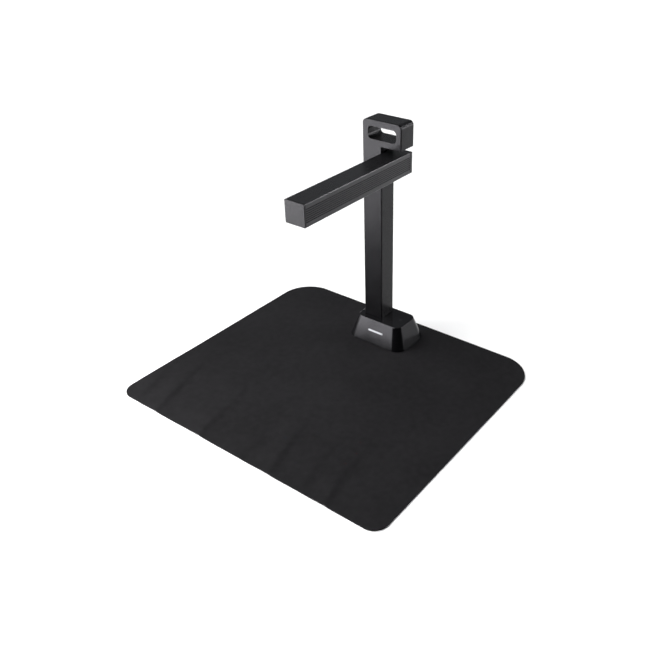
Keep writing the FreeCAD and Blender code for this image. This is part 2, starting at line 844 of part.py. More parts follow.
def make_spine():
    """The folded steel channel that carries the load inside the column."""
    body = new_body("spine")
    right = "spine_right"
    corners = [
        ("spine_left", "spine_front"),
        ("spine_left + spine_thick", "spine_front"),
        ("spine_left + spine_thick", "spine_back - spine_thick"),
        (right + " - spine_thick", "spine_back - spine_thick"),
        (right + " - spine_thick", "spine_front"),
        (right, "spine_front"),
        (right, "spine_back"),
        ("spine_left", "spine_back"),
    ]
    outline = polygon(body, "spine_outline", "XY", "board_low + 0.2", corners)
    pad(body, outline, "spine_top - board_low - 0.2")
    hole = circles(body, "spine_bush_hole", "YZ", "spine_right + 1", [("hinge_y", "hinge_z")],
                   "bush_radius + 0.1")
    pocket(body, hole, "spine_thick + 2")
    screws = circles(body, "spine_bracket_holes", "YZ", "spine_right + 1", BRACKET_HOLES,
                     "bracket_screw + 0.05")
    pocket(body, screws, "spine_thick + 2")
    lower = circles(body, "spine_foot_holes", "XZ", "spine_back + 1", SPINE_HOLES,
                    "case_screw + 0.35")
    pocket(body, lower, "spine_thick + 2", back=True)
    rear = circles(body, "spine_rear_holes", "XZ", "spine_back + 1", REAR_SCREWS, "case_screw")
    pocket(body, rear, "spine_thick + 2", back=True)
    piece(body, "column_spine")


def make_spine_parts():
    """The cast plug that joins the spine to the ballast, and the screws that hold it."""
    body = new_body("plug")
    plug_back = "spine_back - spine_thick - 0.2"
    flange = rectangle(body, "plug_flange", "XY", "ballast_top",
                       "spine_left - 0.5", "spine_front - 2.5",
                       "spine_right + 0.5", "spine_back + 0.8")
    pad(body, flange, "board_low - ballast_top")
    plug = rectangle(body, "plug_block", "XY", "board_low",
                     "spine_left + spine_thick + 0.2", "spine_front + 1.2",
                     "spine_right - spine_thick - 0.2", plug_back)
    pad(body, plug, "plug_tall")
    bolts = circles(body, "plug_bolt_holes", "XY", "ballast_top", COLUMN_BOLTS, "column_bolt")
    pocket(body, bolts, "10", back=True)
    side = circles(body, "plug_side_holes", "XZ", plug_back, SPINE_HOLES, "case_screw")
    pocket(body, side, "6", back=True)
    piece(body, "spine_plug")

    flat = screw("spine_screw", head_radius=2.8, head_tall=1.6, shank_long=6.5,
                 shank_radius="case_screw")
    places = [(x, "spine_back", z) for x, z in SPINE_HOLES]
    piece(repeat("spine_screw_set", flat, places, BACKWARD), "spine_screws")


# ---------------------------------------------------------------- hinge

STOP_REACH = 8.2
STOP_RADIUS = 1.2
STOP_ANGLE = 225.0
DISC_RADIUS = 8.6
DISC_TALL = 1.0
DISC_THICK = 0.6
DISC_FIRST = 2.06
DISC_PLAY = 0.05
NUT_RADIUS = 8.6
NUT_PLACE = 11.4


def make_hinge_stand_side():
    """The pieces of the hinge that stay with the column."""
    body = new_body("bracket")
    plate = rectangle(body, "bracket_outline", "YZ", "spine_right - spine_thick",
                      "hinge_y - bracket_half_deep", "hinge_z - bracket_half_tall",
                      "hinge_y + bracket_half_deep", "hinge_z + bracket_half_tall")
    pad(body, plate, "bracket_thick", back=True)
    bore = circles(body, "bracket_bore", "YZ", "spine_right", [("hinge_y", "hinge_z")],
                   "bush_radius")
    pocket(body, bore, "10")
    holes = circles(body, "bracket_screw_holes", "YZ", "spine_right", BRACKET_HOLES,
                    "bracket_screw + 0.05")
    pocket(body, holes, "10")
    place = stop_place(STOP_ANGLE)
    pin_hole = circles(body, "bracket_pin_hole", "YZ", "spine_right", [place], str(STOP_RADIUS))
    pocket(body, pin_hole, "10")
    piece(body, "hinge_bracket")

    bush = tube("bush", "x", "hinge_inside", "hinge_y", "hinge_z", "bush_radius",
                "shaft_radius + shaft_fit", "column_right - 0.2 - hinge_inside")
    piece(bush, "hinge_bush")

    pin = rod("pin", "x", "hinge_inside - 1.95", place[0], place[1], str(STOP_RADIUS),
              "bracket_thick + 1.95")
    piece(pin, "hinge_stop_pin")

    small = screw("bracket_screw", head_radius=2.1, head_tall=1.4, shank_long=4.4)
    places = [("hinge_inside", y, z) for y, z in BRACKET_HOLES]
    piece(repeat("bracket_screw_set", small, places, LEFTWARD), "bracket_screws")


def stop_place(angle):
    """A point on the stop pin's circle; the angle is counted from +Y towards +Z."""
    turn = math.radians(angle)
    y = "hinge_y + %.4f" % (STOP_REACH * math.cos(turn))
    z = "hinge_z + %.4f" % (STOP_REACH * math.sin(turn))
    return y, z


def make_stop_washer():
    """The washer that turns with the shaft; its notch meets the pin at both ends."""
    body = new_body("stop_ring")
    start = "hinge_inside - 2"
    disc = circles(body, "stop_disc", "YZ", start, [("hinge_y", "hinge_z")], "stop_radius")
    pad(body, disc, "stop_thick")
    bore = circles(body, "stop_bore", "YZ", start, [("hinge_y", "hinge_z")], "shaft_radius")
    pocket(body, bore, "3", back=True)
    # The shaft turns the notch from the pin's one side to the other over the arm's travel:
    # +90 degrees about +X, so at rest the notch reaches 90 degrees back from the pin.
    spare = math.degrees(math.asin((STOP_RADIUS + 0.25) / STOP_REACH))
    first = STOP_ANGLE - 90 - spare
    last = STOP_ANGLE + spare
    sketch = new_sketch(body, "stop_notch", "YZ", start)
    centre = FreeCAD.Vector(value("hinge_y"), value("hinge_z"), 0)
    normal = FreeCAD.Vector(0, 0, 1)
    arcs = []
    for radius in (STOP_REACH - STOP_RADIUS - 0.3, value("stop_radius") + 3):
        circle = Part.Circle(centre, normal, radius)
        arcs.append(Part.ArcOfCircle(circle, math.radians(first), math.radians(last)))
    for arc in arcs:
        sketch.addGeometry(arc)
    sketch.addGeometry(Part.LineSegment(arcs[0].StartPoint, arcs[1].StartPoint))
    sketch.addGeometry(Part.LineSegment(arcs[0].EndPoint, arcs[1].EndPoint))
    for end in (1, 2):
        line = 1 + end
        sketch.addConstraint(Sketcher.Constraint("Coincident", 0, end, line, 1))
        sketch.addConstraint(Sketcher.Constraint("Coincident", 1, end, line, 2))
    pocket(body, sketch, "3", back=True)
    piece(body, "hinge_stop_washer")


def make_disc_springs():
    """Four cone-shaped spring discs in two opposed pairs, between stop washer and nut."""
    cones = []
    for name, level in (("disc_cone", 0), ("disc_hollow", -DISC_THICK)):
        cone = doc.addObject("Part::Cone", name)
        cone.Radius1 = DISC_RADIUS
        bind(cone, "Radius2", "shaft_radius + 0.1")
        cone.Height = DISC_TALL
        cone.Placement.Base.z = level
        cones.append(cone)
    bore = rod("disc_bore", "z", "0", "0", "-1", "shaft_radius", "4")
    cup = cut("disc_cup", cones[0], cones[1])
    disc = cut("disc_spring", cup, bore)
    pair_tall = 2 * DISC_TALL + DISC_PLAY
    places = []
    for pair in range(2):
        near_end = DISC_FIRST + pair * pair_tall
        places.append((near_end, -90))
        places.append((near_end + pair_tall - 0.02, 90))
    links = []
    for i, (depth, turn) in enumerate(places, start=1):
        link = doc.addObject("App::Link", "disc_%d" % i)
        link.LinkedObject = disc
        link.LinkTransform = False
        facing = FreeCAD.Rotation(FreeCAD.Vector(0, 1, 0), turn)
        link.Placement = FreeCAD.Placement(FreeCAD.Vector(), facing)
        bind(link, "Placement.Base.x", "hinge_inside - %.2f" % depth)
        bind(link, "Placement.Base.y", "hinge_y")
        bind(link, "Placement.Base.z", "hinge_z")
        links.append(link)
    discs = doc.addObject("Part::Compound", "disc_springs")
    discs.Links = links
    piece(discs, "hinge_disc_springs")


def make_hinge_arm_side():
    """The shaft and the stack that grips it, all of which turn with the arm."""
    shaft_start = "hinge_inside - %.1f" % (NUT_PLACE + 0.8)
    shaft = tube("shaft", "x", shaft_start, "hinge_y", "hinge_z", "shaft_radius", "shaft_bore",
                 "arm_left + 9 - (%s)" % shaft_start)
    piece(shaft, "hinge_shaft")

    washer = tube("washer", "x", "column_right + 0.2", "hinge_y", "hinge_z", "thrust_radius",
                  "shaft_radius", "arm_gap - 0.3")
    piece(washer, "hinge_thrust_washer")

    nut = new_body("nut")
    corners = []
    for i in range(6):
        turn = math.radians(60 * i + 30)
        corners.append(("hinge_y + %.4f" % (NUT_RADIUS * math.cos(turn)),
                        "hinge_z + %.4f" % (NUT_RADIUS * math.sin(turn))))
    hexagon = polygon(nut, "nut_outline", "YZ", "hinge_inside - %.1f" % NUT_PLACE, corners)
    pad(nut, hexagon, "nut_thick")
    thread = circles(nut, "nut_thread", "YZ", "hinge_inside", [("hinge_y", "hinge_z")],
                     "shaft_radius")
    pocket(nut, thread, "14")
    piece(nut, "hinge_nut")


def make_hinge_block():
    """The cast block in the arm's rear end that the shaft is pressed into."""
    body = new_body("hinge_block")
    outline = rectangle(body, "block_outline", "XZ", "arm_back - rear_cap_thick - 2.6",
                        "arm_left + arm_wall + 0.1", "arm_low + cover_thick + 0.4",
                        "arm_right - arm_wall - 0.1", "arm_top - arm_wall - 0.1")
    pad(body, outline, "block_deep")
    bore = circles(body, "block_bore", "YZ", "arm_left", [("hinge_y", "hinge_z")],
                   "shaft_radius")
    pocket(body, bore, "22", back=True)
    way = rectangle(body, "block_way", "XZ", "hinge_y + 3", "arm_left + 14",
                    "hinge_z - 4", "arm_left + 21", "hinge_z + 4")
    pocket(body, way, "21", back=True)
    recess = rectangle(body, "block_recess", "XZ", "arm_back - rear_cap_thick - 2.6",
                       "arm_left + 20.5", "hinge_z - 10", "arm_right - arm_wall - 2.5",
                       "hinge_z + 10.5")
    pocket(body, recess, "19", back=True)
    holes = circles(body, "block_screw_holes", "XY", "arm_low", COVER_SCREWS[-2:], "cover_screw")
    pocket(body, holes, "8", back=True)
    piece(body, "arm_hinge_block")


# ---------------------------------------------------------------- arm

def arm_section(body, name, level, inset):
    return rectangle(body, name, "XZ", level,
                     "arm_left + (%s)" % inset, "arm_low + (%s)" % inset,
                     "arm_right - (%s)" % inset, "arm_top - (%s)" % inset)


def make_arm_shell():
    """The arm's long cover: top and both sides, with grooves along the outer side."""
    body = new_body("arm_cover")
    front = "arm_front + front_cap_thick + cap_seam"
    length = "arm_back - arm_front - front_cap_thick - rear_cap_thick - 2 * cap_seam"
    section = arm_section(body, "arm_outline", front, "0")
    pad(body, section, length, back=True)
    fillet(body, lambda e: along(e, "y"), "arm_round")
    hollow = rectangle(body, "arm_hollow", "XZ", front,
                       "arm_left + arm_wall", "arm_low - 1",
                       "arm_right - arm_wall", "arm_top - arm_wall")
    pocket(body, hollow, length)
    bosses = circles(body, "arm_bosses", "XY", "arm_low + cover_thick + 0.1",
                     COVER_SCREWS[:-2], "arm_boss_radius")
    pad(body, bosses, "arm_tall - cover_thick - arm_wall")
    boss_holes = circles(body, "arm_boss_holes", "XY", "arm_low", COVER_SCREWS[:-2],
                         "cover_screw")
    pocket(body, boss_holes, "11", back=True)
    lowest = "hinge_z - groove_pitch * (groove_count - 1) / 2"
    groove = rectangle(body, "arm_groove", "XZ", front,
                       "arm_right - groove_deep", lowest + " - groove_wide / 2",
                       "arm_right + 1", lowest + " + groove_wide / 2")
    first = pocket(body, groove, length)
    linear_row(body, "arm_grooves", first, groove, "V_Axis",
               "groove_pitch * (groove_count - 1)", "groove_count")
    hole = circles(body, "arm_shaft_hole", "YZ", "arm_left - 1", [("hinge_y", "hinge_z")],
                   "shaft_radius + 0.3")
    pocket(body, hole, "arm_wall + 2", back=True)
    piece(body, "arm_shell")


def make_arm_cap(name, label, face, thick, outward_back):
    """An end cap: a plate of the arm's section with a lip that plugs into the shell."""
    body = new_body(name)
    sketch = arm_section(body, name + "_outline", face, "0")
    pad(body, sketch, thick, back=not outward_back)
    fillet(body, lambda e: along(e, "y"), "arm_round")
    fillet(body, lambda e: near(middle(e).y, face), "cap_round")
    sign = "-" if outward_back else "+"
    seat = "%s %s %s" % (face, sign, thick)
    lip = rectangle(body, name + "_lip", "XZ", seat, "arm_left + arm_wall + 0.15",
                    "arm_low + cover_thick + 0.5", "arm_right - arm_wall - 0.15",
                    "arm_top - arm_wall - 0.15")
    pad(body, lip, "cap_lip", back=not outward_back)
    piece(body, label)


COVER_SCREWS = []
for screw_y in ("-63", "-27", "134", "150"):
    for screw_side in "-+":
        COVER_SCREWS.append(("arm_middle_x %s cover_screw_x" % screw_side, screw_y))
MAIN_POSTS = corners_about("arm_middle_x", "(main_front + main_back) / 2", "cover_screw_x",
                           "((main_back - main_front) / 2 - 5)")


def light_place(index):
    """The y of a light window's front end."""
    return "light_first_y + %d * light_pitch" % index


def make_arm_cover():
    """The arm's underside, with the camera's window and the two light windows."""
    body = new_body("underside")
    left = "arm_left + arm_wall + 0.15"
    right = "arm_right - arm_wall - 0.15"
    outline = rectangle(body, "underside_outline", "XY", "arm_low", left,
                        "arm_front + front_cap_thick + cap_seam", right,
                        "arm_back - rear_cap_thick - cap_seam")
    pad(body, outline, "cover_thick")
    posts = circles(body, "underside_posts", "XY", "arm_low", MAIN_POSTS, "main_post_radius")
    pad(body, posts, "main_post_top")
    for index in range(2):
        low = light_place(index)
        for end, rib_y in (("front", low + " - rib_deep - 0.5"),
                           ("back", low + " + light_long + 0.5")):
            rib = rectangle(body, "light_rib_%d_%s" % (index, end), "XY", "arm_low",
                            "arm_middle_x - 5", rib_y, "arm_middle_x + 5", rib_y + " + rib_deep")
            pad(body, rib, "light_board_low")
    post_holes = circles(body, "underside_post_holes", "XY", "arm_low + main_post_top",
                         MAIN_POSTS, "main_screw")
    pocket(body, post_holes, "8")
    centre = [("arm_middle_x", "camera_y")]
    seat = circles(body, "window_seat", "XY", "arm_low", centre, "window_radius")
    pocket(body, seat, "1.2", back=True)
    eye = circles(body, "lens_hole", "XY", "arm_low", centre, "window_radius - 1.6")
    pocket(body, eye, "cover_thick + 1", back=True)
    for index in range(2):
        low = light_place(index)
        light = rounded(body, "light_window_%d" % index, "XY", "arm_low",
                        "arm_middle_x - light_wide / 2", low,
                        "arm_middle_x + light_wide / 2", low + " + light_long", "light_round")
        pocket(body, light, "cover_thick + 1", back=True)
    heads = circles(body, "cover_screw_recess", "XY", "arm_low", COVER_SCREWS,
                    "cover_screw + 0.95")
    pocket(body, heads, "1.3", back=True)
    holes = circles(body, "cover_screw_holes", "XY", "arm_low", COVER_SCREWS,
                    "cover_screw + 0.05")
    pocket(body, holes, "cover_thick + 1", back=True)
    piece(body, "arm_underside_cover")

    small = screw("cover_screw", head_radius=1.7, head_tall=1.1, shank_long=6)
    places = [(x, y, "arm_low + 1.25") for x, y in COVER_SCREWS]
    piece(repeat("cover_screw_set", small, places, DOWN), "arm_cover_screws")


def make_lights():
    """Two light strips: a clear diffuser, a narrow board and its row of chips each."""
    diffusers = []
    boards = []
    chips = []
    chip_count = 9
    for index in range(2):
        low = light_place(index)
        body = new_body("diffuser_%d" % index)
        outline = rounded(body, "diffuser_outline_%d" % index, "XY", "arm_low",
                          "arm_middle_x - light_wide / 2 + 0.1", low + " + 0.1",
                          "arm_middle_x + light_wide / 2 - 0.1", low + " + light_long - 0.1",
                          "light_round - 0.1")
        pad(body, outline, "cover_thick")
        diffusers.append(body)
        boards.append(block("light_board_%d" % index, "arm_middle_x - 4.5", low + " - 3",
                            "arm_low + light_board_low", "9", "light_long + 6", "1"))
        for step in range(chip_count):
            y = "%s + 3.6 + %d * (light_long - 10) / %d" % (low, step, chip_count - 1)
            chips.append(block("light_chip_%d_%d" % (index, step), "arm_middle_x - 1.4", y,
                               "arm_low + light_board_low - 0.8", "2.8", "2.8", "0.8"))
    for name, parts in (("light_diffusers", diffusers), ("light_boards", boards),
                        ("light_chips", chips)):
        group = doc.addObject("Part::Compound", name)
        group.Links = parts
        piece(group, name)


def make_camera():
    """The camera, which looks straight down through its window."""
    axis_x = "arm_middle_x"
    window = rod("window", "z", axis_x, "camera_y", "arm_low + 0.1", "window_radius - 0.1", "1")
    piece(window, "camera_window")

    low = "arm_low + cover_thick + camera_box_low"
    body = new_body("camera_box")
    outline = rectangle(body, "camera_outline", "XY", low,
                        "arm_middle_x - camera_box / 2", "camera_y - camera_box / 2",
                        "arm_middle_x + camera_box / 2", "camera_y + camera_box / 2")
    pad(body, outline, "camera_box_tall")
    legs = circles(body, "camera_legs", "XY", "arm_low + cover_thick",
                   corners_about(axis_x, "camera_y", "10", "10"), "1.9")
    pad(body, legs, "camera_box_low + 1")
    well = circles(body, "camera_well", "XY", low, [(axis_x, "camera_y")], "barrel_radius + 0.1")
    pocket(body, well, "11", back=True)
    eye = rectangle(body, "camera_eye", "XY", low, axis_x + " - 4.5", "camera_y - 4.5",
                    axis_x + " + 4.5", "camera_y + 4.5")
    pocket(body, eye, "14", back=True)
    piece(body, "camera_housing")

    barrel = new_body("barrel")
    centre = [(axis_x, "camera_y")]
    outer = circles(barrel, "barrel_outer", "XY", "arm_low + 1.6", centre, "barrel_radius")
    pad(barrel, outer, "16")
    ring = circles(barrel, "barrel_grip", "XY", "arm_low + cover_thick + 0.8", centre,
                   "barrel_radius + 0.8")
    pad(barrel, ring, "3")
    mouth = circles(barrel, "barrel_mouth", "XY", "arm_low + 1.6", centre, "5.6")
    pocket(barrel, mouth, "3", back=True)
    through = circles(barrel, "barrel_through", "XY", "arm_low + 1.6", centre, "4.2")
    pocket(barrel, through, "17", back=True)
    piece(barrel, "lens_barrel")

    ball = doc.addObject("Part::Sphere", "lens_ball")
    bind(ball, "Radius", "lens_curve")
    bind(ball, "Placement.Base.x", axis_x)
    bind(ball, "Placement.Base.y", "camera_y")
    bind(ball, "Placement.Base.z", "arm_low + 2.2 + lens_curve")
    stub = rod("lens_stub", "z", axis_x, "camera_y", "arm_low + 2", "lens_radius", "2.55")
    lens = doc.addObject("Part::MultiCommon", "front_lens_shape")
    lens.Shapes = [ball, stub]
    piece(lens, "front_lens")

    sensor = block("sensor_plate", axis_x + " - 13", "camera_y - 13",
                   low + " + camera_box_tall", "26", "26", "1.2")
    piece(sensor, "sensor_board")
    chip = block("sensor_die", axis_x + " - 4", "camera_y - 4",
                 low + " + camera_box_tall - 1.2", "8", "8", "1.2")
    piece(chip, "image_sensor")


def make_main_board():
    low = "arm_low + main_post_top"
    board = new_body("main_plate")
    outline = rectangle(board, "main_outline", "XY", low,
                        "arm_middle_x - main_wide / 2", "main_front",
                        "arm_middle_x + main_wide / 2", "main_back")
    pad(board, outline, "board_thick")
    holes = circles(board, "main_holes", "XY", low, MAIN_POSTS, "main_screw + 0.2")
    pocket(board, holes, "3", back=True)
    piece(board, "main_board")

    chips = []
    for index, (y, size) in enumerate((("4", 14), ("30", 10), ("74", 9))):
        chips.append(block("main_chip_%d" % index, "arm_middle_x - %.1f" % (size / 2.0), y,
                           low + " + board_thick", str(size), str(size), "1.2"))
    group = doc.addObject("Part::Compound", "main_chips")
    group.Links = chips
    piece(group, "board_chips")


def make_heat_sink_and_ribbon():
    low = "arm_low + main_post_top"
    sink = new_body("sink")
    left = "arm_middle_x - sink_wide / 2"
    right = "arm_middle_x + sink_wide / 2"
    plate = rectangle(sink, "sink_plate", "XY", low + " + 2.9", left, "sink_front", right,
                      "sink_front + sink_deep")
    pad(sink, plate, "1.4")
    fin = rectangle(sink, "sink_fin", "XY", low + " + 4.3", left, "sink_front", left + " + 1",
                    "sink_front + sink_deep")
    first = pad(sink, fin, "5.5")
    linear_row(sink, "sink_fins", first, fin, "H_Axis", "sink_wide - 1", "7")
    piece(sink, "heat_sink")

    screws = screw("main_screw", head_radius=1.9, head_tall=1.1, shank_long=5)
    places = [(x, y, low + " + board_thick") for x, y in MAIN_POSTS]
    piece(repeat("main_screw_set", screws, places), "main_board_screws")

    # A thin flat strip that steps down from the sensor's board to the main board.
    ribbon = new_body("ribbon")
    left = "arm_middle_x - 5"
    path = [
        ("camera_y + 13.2", "arm_low + 20.4"),
        ("-18.5", "arm_low + 20.4"),
        ("-18.5", "arm_low + 17.8"),
        ("-14", "arm_low + 17.8"),
        ("-14", "arm_low + 18.1"),
        ("-18.2", "arm_low + 18.1"),
        ("-18.2", "arm_low + 20.7"),
        ("camera_y + 13.2", "arm_low + 20.7"),
    ]
    strip = polygon(ribbon, "ribbon_side", "YZ", left, path)
    pad(ribbon, strip, "10")
    piece(ribbon, "camera_ribbon")


# ---------------------------------------------------------------- harness

def harness(name, corners, radii, label):
    """A round cable along straight runs joined by tangent arcs."""
    points = [FreeCAD.Vector(*(value(c) for c in corner)) for corner in corners]
    edges = []
    start = points[0]
    for before, corner, after, radius in zip(points, points[1:], points[2:], radii):
        into = (corner - before).normalize()
        out = (after - corner).normalize()
        turn = into.getAngle(out)
        reach = radius * math.tan(turn / 2)
        first = corner - into * reach
        last = corner + out * reach
        bulge = (out - into).normalize()
        centre = corner + bulge * (radius / math.cos(turn / 2))
        edges.append(Part.LineSegment(start, first).toShape())
        halfway = centre - bulge * radius
        edges.append(Part.Arc(first, halfway, last).toShape())
        start = last
    edges.append(Part.LineSegment(start, points[-1]).toShape())
    wire = Part.Wire(edges)
    thick = value("harness_radius")
    circle = Part.Circle(points[0], points[1] - points[0], thick)
    profile = Part.Wire([circle.toShape()])
    solid = wire.makePipeShell([profile], True, False)
    expected = math.pi * thick ** 2 * wire.Length
    if abs(solid.Volume - expected) > 0.01 * expected:
        raise RuntimeError(name + " has the wrong volume")
    feature = doc.addObject("Part::Feature", name)
    feature.Shape = solid
    feature.Placement = FreeCAD.Placement()
    piece(feature, label)
    print(name, "length %.1f" % wire.Length, "radii", radii)


def make_harnesses():
    lane = "-34"
    plug_y = "board_front - 1.7"
    plug_z = "board_low + board_thick + 2.2"
    column_route = [
        ("board_left + 1.4", plug_y, plug_z),
        (lane, plug_y, plug_z),
        (lane, plug_y, "255"),
        (lane, "hinge_y", "280"),
        (lane, "hinge_y", "hinge_z"),
        ("spine_right - 12", "hinge_y", "hinge_z"),
    ]
    harness("stand_cable", column_route, (12, 30, 30, 8.5), "column_harness")
    arm_route = [
        ("arm_left + 1", "hinge_y", "hinge_z"),
        ("arm_left + 17", "hinge_y", "hinge_z"),
        ("arm_left + 17", "140", "hinge_z"),
        ("arm_left + 17", "133", "arm_low + 19.6"),
        ("arm_left + 17", "125.2", "arm_low + 19.6"),
    ]
    harness("arm_cable", arm_route, (8, 7, 7), "arm_harness")


make_mat()
make_foot_shell()
make_foot_plate()
make_ballast()
make_foot_small_parts()
make_board_and_port()
make_column_shell()
make_column_panel()
make_spine()
make_spine_parts()
make_hinge_stand_side()
make_hinge_arm_side()
make_stop_washer()
make_disc_springs()
make_hinge_block()
make_arm_shell()
make_arm_cap("front_cap", "arm_front_cap", "arm_front", "front_cap_thick", False)
make_arm_cap("rear_cap", "arm_rear_cap", "arm_back", "rear_cap_thick", True)
make_arm_cover()
make_lights()
make_camera()
make_main_board()
make_heat_sink_and_ribbon()
make_harnesses()
doc.recompute()

for thing in doc.Objects:
    if "Invalid" in thing.State or "Error" in thing.State:
        raise RuntimeError("%s failed: %s" % (thing.Name, thing.State))
for thing in PIECES:
    shape = thing.Shape
    if shape.isNull() or not shape.isValid() or not shape.Solids:
        raise RuntimeError(thing.Label + " is not a valid solid")
for thing in PIECES:
    thing.Shape.exportStep("parts/%s.step" % thing.Label)
    print("%-22s %3d solid(s) %12.1f mm3" % (thing.Label, len(thing.Shape.Solids),
                                            thing.Shape.Volume))
print(len(PIECES), "sub-parts")
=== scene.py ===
import json
import math

import bmesh
import bpy
from mathutils import Matrix, Vector, noise


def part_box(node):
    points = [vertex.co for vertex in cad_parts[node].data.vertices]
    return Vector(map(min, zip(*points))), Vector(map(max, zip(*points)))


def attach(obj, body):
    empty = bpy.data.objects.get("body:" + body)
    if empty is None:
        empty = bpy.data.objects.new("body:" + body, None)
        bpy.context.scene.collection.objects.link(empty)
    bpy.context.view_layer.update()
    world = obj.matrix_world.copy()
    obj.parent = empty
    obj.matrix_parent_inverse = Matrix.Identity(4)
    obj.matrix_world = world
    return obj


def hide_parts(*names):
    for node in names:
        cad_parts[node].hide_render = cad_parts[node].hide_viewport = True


# Looks for an overhead book scanner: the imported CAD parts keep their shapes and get
# moulded-plastic, metal and board materials, and the soft mat is a mesh of its own.
# Everything is in metres, in the CAD's frame.

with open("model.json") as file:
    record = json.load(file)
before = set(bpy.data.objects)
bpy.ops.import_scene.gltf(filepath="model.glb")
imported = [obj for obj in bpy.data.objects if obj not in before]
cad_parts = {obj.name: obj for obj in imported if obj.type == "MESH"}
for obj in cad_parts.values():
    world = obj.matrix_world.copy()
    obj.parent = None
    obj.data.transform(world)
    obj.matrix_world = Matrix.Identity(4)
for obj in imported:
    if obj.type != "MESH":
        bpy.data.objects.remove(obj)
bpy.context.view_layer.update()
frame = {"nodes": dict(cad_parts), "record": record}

MM = 0.001

# Finishes. A noise texture's values lie mostly between NOISE_LOW and NOISE_HIGH.
NOISE_LOW = 0.3
NOISE_HIGH = 0.7
CASE_DARK = (0.0028, 0.0028, 0.0032)
CASE_LIGHT = (0.0036, 0.0036, 0.0041)
PLASTIC_TINT = (0.95, 0.93, 1.0, 1)
COARSE_GRAIN = 0.03 * MM
FINE_GRAIN = 0.01 * MM

# The case's larger parts differ a little in gloss.
OWN_FINISH = {
    "foot_shell": "foot_case",
    "column_shell": "tub_case",
    "column_front_panel": "panel_case",
}

# Where the CAD's grooves are in the arm's outer side, and how much duller they are
ARM_SIDE_X = 26.4 * MM
GROOVE_LIP = 0.15 * MM
GROOVE_FLOOR = 1.5 * MM
GROOVES_MID_Z = 316.5 * MM
GROOVES_HALF = 11 * MM
GROOVE_DUST = 0.6

# Mat
MAT_FRONT_RADIUS = 22 * MM
MAT_BACK_RADIUS = 55 * MM
MAT_RIM = 0.7 * MM
RIM_SEGMENTS = 3
RIM_ANGLE = 50
COLUMNS = 260
STRAIGHT_ROWS = 130
CORNER_ROWS = 14
FOLDS = (
    # where a fold meets the front edge, its height, its long and its steep flank
    (-212 * MM, 1.5 * MM, 20 * MM, 8 * MM),
    (-163 * MM, 3.2 * MM, 26 * MM, 7 * MM),
    (-67 * MM, 3.8 * MM, 34 * MM, 8 * MM),
    (2 * MM, 1.7 * MM, 24 * MM, 10 * MM),
    (54 * MM, 3.4 * MM, 30 * MM, 8 * MM),
    (118 * MM, 1.4 * MM, 20 * MM, 10 * MM),
    (166 * MM, 3.2 * MM, 26 * MM, 7 * MM),
)
FOLD_TILT = 0.26
FOLD_REACH = 0.36
FOLD_FADE = 1.2
FOLD_BEND = 14 * MM
BEND_WAVES = (6, 9)
BEND_SLICE = 0.3
EDGE_CALM = 35 * MM
EDGE_SHARE = 0.4
SWELL = 0.8 * MM
SWELL_WAVES = (16, 16)
SWELL_SLICE = 7.7

# Studio
FLOOR_REACH = 30.0
FLOOR_DROP = 0.2 * MM
ROOM_DARK = 0.02
ROOM_BRIGHT = 0.24
ROOM_COLOUR = (0.93, 0.96, 1, 1)
BRIGHT_SIDE = (-0.5, 0.69, 0.53)
WHITE = (1, 1, 1, 1)
SUN_STRENGTH = 4.6
SUN_ANGLE = 50
SUN_AIM = (0.5, 0.3, -0.8)
SOFTBOXES = (
    # name, place, what it faces, width and length, watts, spread in degrees
    ("floor_wash", (-0.88, -1.05, 1.3), (-0.88, -1.05, 0), (1.0, 1.0), 46, 70),
    ("low_front", (-1.6, -1.62, 0.35), (0, 0.1, 0.1), (1.6, 0.6), 22, 120),
    ("low_right", (1.7, 1.6, 0.25), (0, 0.15, 0.05), (1.0, 0.5), 1.9, 40),
    ("edge_strip", (0.5, 0.67, 0.78), (0.02, 0.05, 0.33), (0.12, 0.6), 0.5, 40),
)

# Camera: turned to the right and looking down by these degrees
CAMERA_AROUND = 35.92
CAMERA_ABOVE = 32.26
CAMERA_PLACE = (0.6323, -0.7385, 0.7181)
CAMERA_SENSOR = 36
CAMERA_LENS = 41.71
CAMERA_SHIFT = (-0.0884, -0.0016)


# ---------------------------------------------------------------- node helpers

def add_node(tree, kind, **settings):
    """A new node, with plain settings such as operation="ADD"."""
    node = tree.nodes.new(kind)
    for key, setting in settings.items():
        setattr(node, key, setting)
    return node


